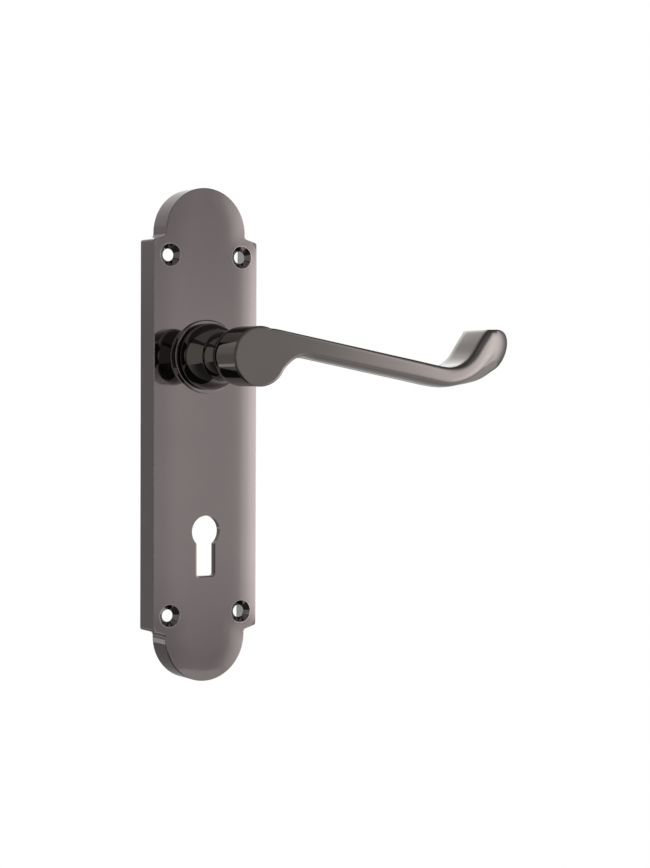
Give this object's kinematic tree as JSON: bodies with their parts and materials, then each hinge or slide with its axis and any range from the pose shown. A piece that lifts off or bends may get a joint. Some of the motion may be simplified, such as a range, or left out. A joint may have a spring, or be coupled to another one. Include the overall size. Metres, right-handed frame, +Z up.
{
  "type": "door lever handle on backplate",
  "caption": "Scroll-ended door lever on a long backplate with half-round ends, countersunk fixing holes, a lever-lock keyhole and a sprung spindle socket.",
  "frame": {"origin": "where the spindle axis meets the door face, at the centre of the square socket's mouth plane", "axes": "+X runs along the lever, +Y goes into the door along the spindle axis, +Z is up; the front of the handle looks toward -Y"},
  "size_m": [0.1205, 0.0437, 0.1608],
  "materials": {
    "black_nickel": "satin-polished black nickel plate on cast zinc, slightly warm",
    "nylon": "moulded black nylon",
    "zinc_steel": "zinc-plated pressed steel",
    "spring_steel": "oiled spring steel"
  },
  "bodies": {
    "plate": {"backplate": "black_nickel", "spindle_bush": "nylon", "cassette_cup": "zinc_steel", "cassette_cover": "zinc_steel", "cassette_screws": "zinc_steel", "stop_posts": "zinc_steel", "spring_post": "zinc_steel"},
    "lever": {"lever": "black_nickel", "spring_driver": "nylon", "return_spring": "spring_steel", "thrust_washer": "zinc_steel", "circlip": "spring_steel"}
  },
  "joints": [
    {"name": "lever_turn", "type": "hinge", "parent": "plate", "child": "lever", "pos_m": [0, 0, 0], "axis": [0, 1, 0], "range_deg": [0, 38], "stiffness_Nm_per_rad": 0.8, "springref_deg": -14.32, "deforming": ["return_spring"]}
  ]
}
